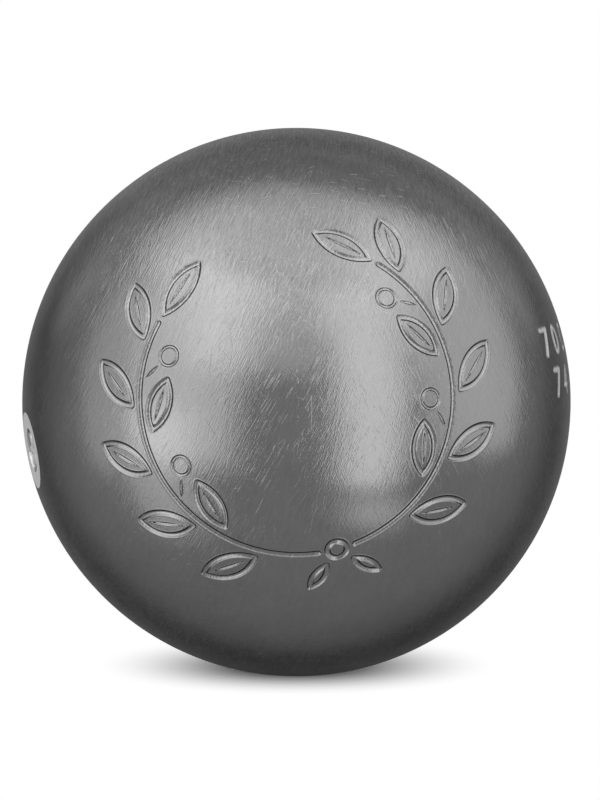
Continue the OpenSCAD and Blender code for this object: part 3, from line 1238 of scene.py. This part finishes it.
def burnished_steel(shared, marks, lines, scratches):
    """Dark burnished steel, brushed by hand in crossing arcs and finely scratched."""
    material, tree, shader = new_material("burnished_steel")
    place = position_mm(tree)
    parts = split(tree, place)

    def tilted(group, degrees, **values):
        axis_turn = (0.0, math.radians(degrees), 0.0)
        return use_group(tree, group, Position=place, Axis_Turn=axis_turn, **values)["Marks"]

    def scratched(**values):
        return use_group(tree, scratches, Position=place, **values)["Marks"]

    steel = use_group(tree, shared, Position=place)
    grain = noise(tree, place, scale=2.6, detail=2.0, roughness=0.6)
    left_share = fade(tree, parts["X"], start=-4.0, end=20.0, low=1.0, high=0.25)
    right_share = fade(tree, parts["X"], start=-2.0, end=24.0, low=0.25, high=0.9)
    low_share = fade(tree, parts["Z"], start=-26.0, end=-4.0, low=0.6, high=0.0)
    brushed = total(
        tree,
        (tilted(marks, -27.0, Width=0.13, Length=2.3, Seed=3.0), left_share),
        (tilted(marks, -11.0, Width=0.15, Length=3.4, Seed=23.0), 0.55),
        (tilted(marks, 21.0, Width=0.13, Length=2.3, Seed=11.0), right_share),
        (tilted(marks, 84.0, Width=0.14, Length=2.6, Seed=31.0), low_share),
    )
    fine_lines = total(
        tree,
        (tilted(lines, -31.0, Spacing=0.28, Length=3.0, Width=0.12, Cover=0.7, Seed=7.0), left_share),
        (tilted(lines, -8.0, Spacing=0.32, Length=3.4, Width=0.12, Cover=0.5, Seed=17.0), 0.6),
        (tilted(lines, 24.0, Spacing=0.3, Length=3.0, Width=0.12, Cover=0.6, Seed=27.0), right_share),
    )
    dashes = scratched(Axis=(0.0, 1.0, 0.0), Cell=1.3, Length=1.9, Width=0.12, Stray=3.0,
                       Cover=0.4, Seed=9.0)
    hairs = scratched(Axis=(0.3, 0.2, 0.1), Cell=6.0, Length=9.0, Width=0.13, Stray=2.4,
                      Cover=0.5, Seed=5.0)

    # The marks grow stronger towards the top of the ball, in tone and in relief
    upper_marks_strength = fade(tree, parts["Z"], start=8.0, end=26.0, low=1.0, high=2.4)
    # The scratches' lighter tone, strongest near the top, is partly bright scratched steel and partly
    # painted glints
    dash_tone_and_glint = fade(tree, parts["Z"], start=24.0, end=31.0, low=0.025, high=0.09)
    marks_tone = product(tree, total(tree, (brushed, 0.008), (fine_lines, 0.009)), upper_marks_strength)
    tone = total(tree, (steel["Tone"], 1.0), (grain, 0.01), (marks_tone, 1.0), (dashes, dash_tone_and_glint))
    base = calc(tree, "ADD", STEEL_BASE - SHELL_ADDED_TONE, tone)
    in_groove = fade(tree, mask(tree, "engraved"), start=0.45, end=0.95, low=1.0, high=GROOVE_LIGHTENING)
    base = product(tree, base, in_groove)
    bright_cut = mask(tree, "bright_cut")
    mix = add_node(tree, "ShaderNodeMix", {"data_type": "RGBA"})
    feed(tree, open_socket(mix.inputs, "Factor"), bright_cut)
    feed(tree, open_socket(mix.inputs, "A"), join(tree, base, base, base))
    feed(tree, open_socket(mix.inputs, "B"), (BRIGHT_CUT_BASE, BRIGHT_CUT_BASE, BRIGHT_CUT_BASE, 1.0))
    feed(tree, shader.inputs["Base Color"], open_socket(mix.outputs, "Result"))
    rough = total(tree, (steel["Roughness"], 1.0), (brushed, 0.03), (bright_cut, 0.2))
    marks_height = product(tree, total(tree, (brushed, 1.0), (fine_lines, -1.3)), upper_marks_strength)
    height = total(tree, (marks_height, 1.0), (grain, 0.8), (hairs, -1.6), (dashes, -1.4))
    finish_steel(tree, shader, calc(tree, "ADD", STEEL_ROUGHNESS - SHELL_ADDED_ROUGHNESS, rough), height)
    return material


def ground_weld(shared, marks):
    """The weld, ground flush: the shells' steel with marks that run along it."""
    material, tree, shader = new_material("ground_weld")
    place = position_mm(tree)
    steel = use_group(tree, shared, Position=place)
    ground = use_group(tree, marks, Position=place, Axis_Turn=(0.0, 0.0, math.radians(90)),
                       Width=0.16, Length=5.0, Seed=47.0)["Marks"]
    tone = total(tree, (steel["Tone"], 1.0), (ground, 0.012))
    base = calc(tree, "ADD", STEEL_BASE - WELD_ADDED_TONE, tone)
    feed(tree, shader.inputs["Base Color"], join(tree, base, base, base))
    rough = total(tree, (steel["Roughness"], 1.0), (ground, 0.03))
    finish_steel(tree, shader, calc(tree, "ADD", STEEL_ROUGHNESS - WELD_ADDED_ROUGHNESS, rough), ground)
    return material


# The object's pieces

def face_kinds(points, faces, outer_count):
    """Kind of each face: the first ones are the outer surface, of which some are the mark's."""
    kinds = np.full(len(faces), WALL)
    kinds[:outer_count] = OUTER
    inside = from_mark_axis(points[faces[:outer_count]].mean(1)) < MARK_R
    kinds[:outer_count][inside] = MARK
    return kinds


def make_front_shell(material):
    """Front half-shell, engraved, with its finish masks."""
    lines = LineSet(wreath() + figures())
    surface_points, surface_faces = engraved_surface(lines)
    profile = wall_profile(SPIGOT_R, SPIGOT_LEN)
    points, faces = add_walls(surface_points, surface_faces, profile)
    kinds = face_kinds(points, faces, len(surface_faces))
    obj = make_mesh("front_half", points, faces, kinds)
    lines_object = lines.make_object()
    engrave(obj, lines_object, material)
    bpy.data.objects.remove(lines_object)
    finish_mark(obj.data)
    shade(obj)
    return obj


def make_rear_shell(material):
    """Plain rear half-shell, made as one that faces -Y and then mirrored."""
    surface_points, surface_faces = cap()
    profile = wall_profile(COUNTERBORE_R, -COUNTERBORE_LEN)
    points, faces = add_walls(surface_points, surface_faces, profile)
    kinds = np.full(len(faces), WALL)
    kinds[:len(surface_faces)] = OUTER
    obj = make_mesh("rear_half", points * (1, -1, 1), faces[:, ::-1], kinds)
    obj.data.materials.append(material)
    shade(obj)
    return obj


def make_weld_ring(material):
    """Ring whose section is the weld's groove, closed by the ball's own arc, with the caps' steps."""
    half_angle = math.asin(RIM_DEPTH / BALL_R)
    angles = np.linspace(-half_angle, half_angle, WELD_ARC_STEPS + 1)
    section = [(BALL_R * math.cos(a), BALL_R * math.sin(a)) for a in angles]
    section += [(WELD_ROOT_R, WELD_ROOT_W / 2), (WELD_ROOT_R, -WELD_ROOT_W / 2)]
    around = round_y(CAP_RINGS)
    steps = len(around)
    points = np.concatenate([around * radius + (0.0, y, 0.0) for radius, y in section])
    faces = []
    kinds = []
    for i in range(len(section)):
        here = i * steps + np.arange(steps)
        there = (i + 1) % len(section) * steps + np.arange(steps)
        faces.append(np.column_stack([here, np.roll(here, -1), there])[:, ::-1])
        faces.append(np.column_stack([np.roll(here, -1), np.roll(there, -1), there])[:, ::-1])
        kinds += [OUTER if i < WELD_ARC_STEPS else WALL] * (2 * steps)
    obj = make_mesh("weld", points, np.concatenate(faces), np.array(kinds))
    obj.data.materials.append(material)
    shade(obj)
    return obj


def make_ball():
    """Makes the three pieces, each of which rides the part's body and replaces its node."""
    shared = steel_clouds_and_shade()
    marks = brush_marks()
    steel = burnished_steel(shared, marks, brush_lines(), hairlines())
    pieces = (
        (make_front_shell(steel), "front_shell", "shell_steel"),
        (make_rear_shell(steel), "rear_shell", "shell_steel"),
        (make_weld_ring(ground_weld(shared, marks)), "weld_ring", "weld_steel"),
    )
    for piece, node, slot in pieces:
        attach(piece, "root")
        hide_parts(node)


bpy.context.scene.view_settings.view_transform = "Standard"
make_camera()
make_world()
make_floor()
for box in SOFTBOXES:
    softbox(*box)
make_ball()
